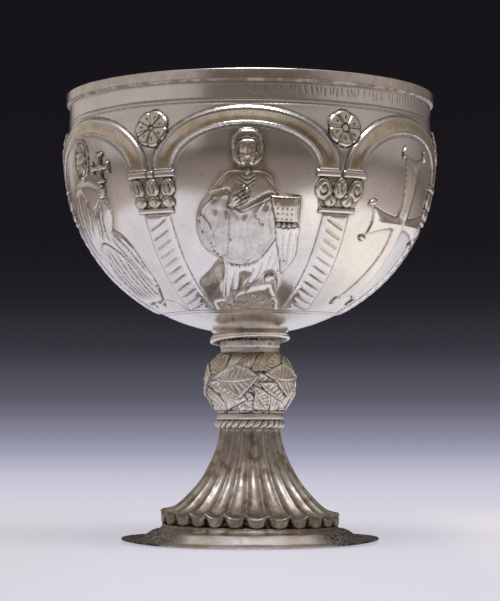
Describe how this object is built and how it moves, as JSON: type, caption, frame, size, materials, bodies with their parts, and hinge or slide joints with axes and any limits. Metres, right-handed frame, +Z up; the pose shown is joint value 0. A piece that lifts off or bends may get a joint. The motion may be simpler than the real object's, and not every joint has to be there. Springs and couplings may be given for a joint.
{
  "type": "chalice",
  "caption": "Silver chalice with a deep round bowl chased with arches, figures and crosses, a leafy knop and a fluted foot, standing on a flat flange.",
  "frame": {"origin": "centre of the underside, on the surface the foot stands on", "axes": "+Z up through the middle of the cup; the front, with the figure holding a book, faces -Y"},
  "size_m": [0.1423, 0.1444, 0.168],
  "materials": {
    "worn_silver": "worn polished silver with parcel gilding and dark tarnish in the chased lines",
    "gilt_silver": "silver with thin worn gilding",
    "stem_silver": "chased silver with worn gilding and dark tarnish between the leaves",
    "foot_silver": "fluted silver, warm grey, tarnished in the flutes"
  },
  "bodies": {
    "root": {"bowl": "worn_silver", "collar": "gilt_silver", "knop": "stem_silver", "cabled_ring": "stem_silver", "foot": "foot_silver"}
  },
  "joints": []
}
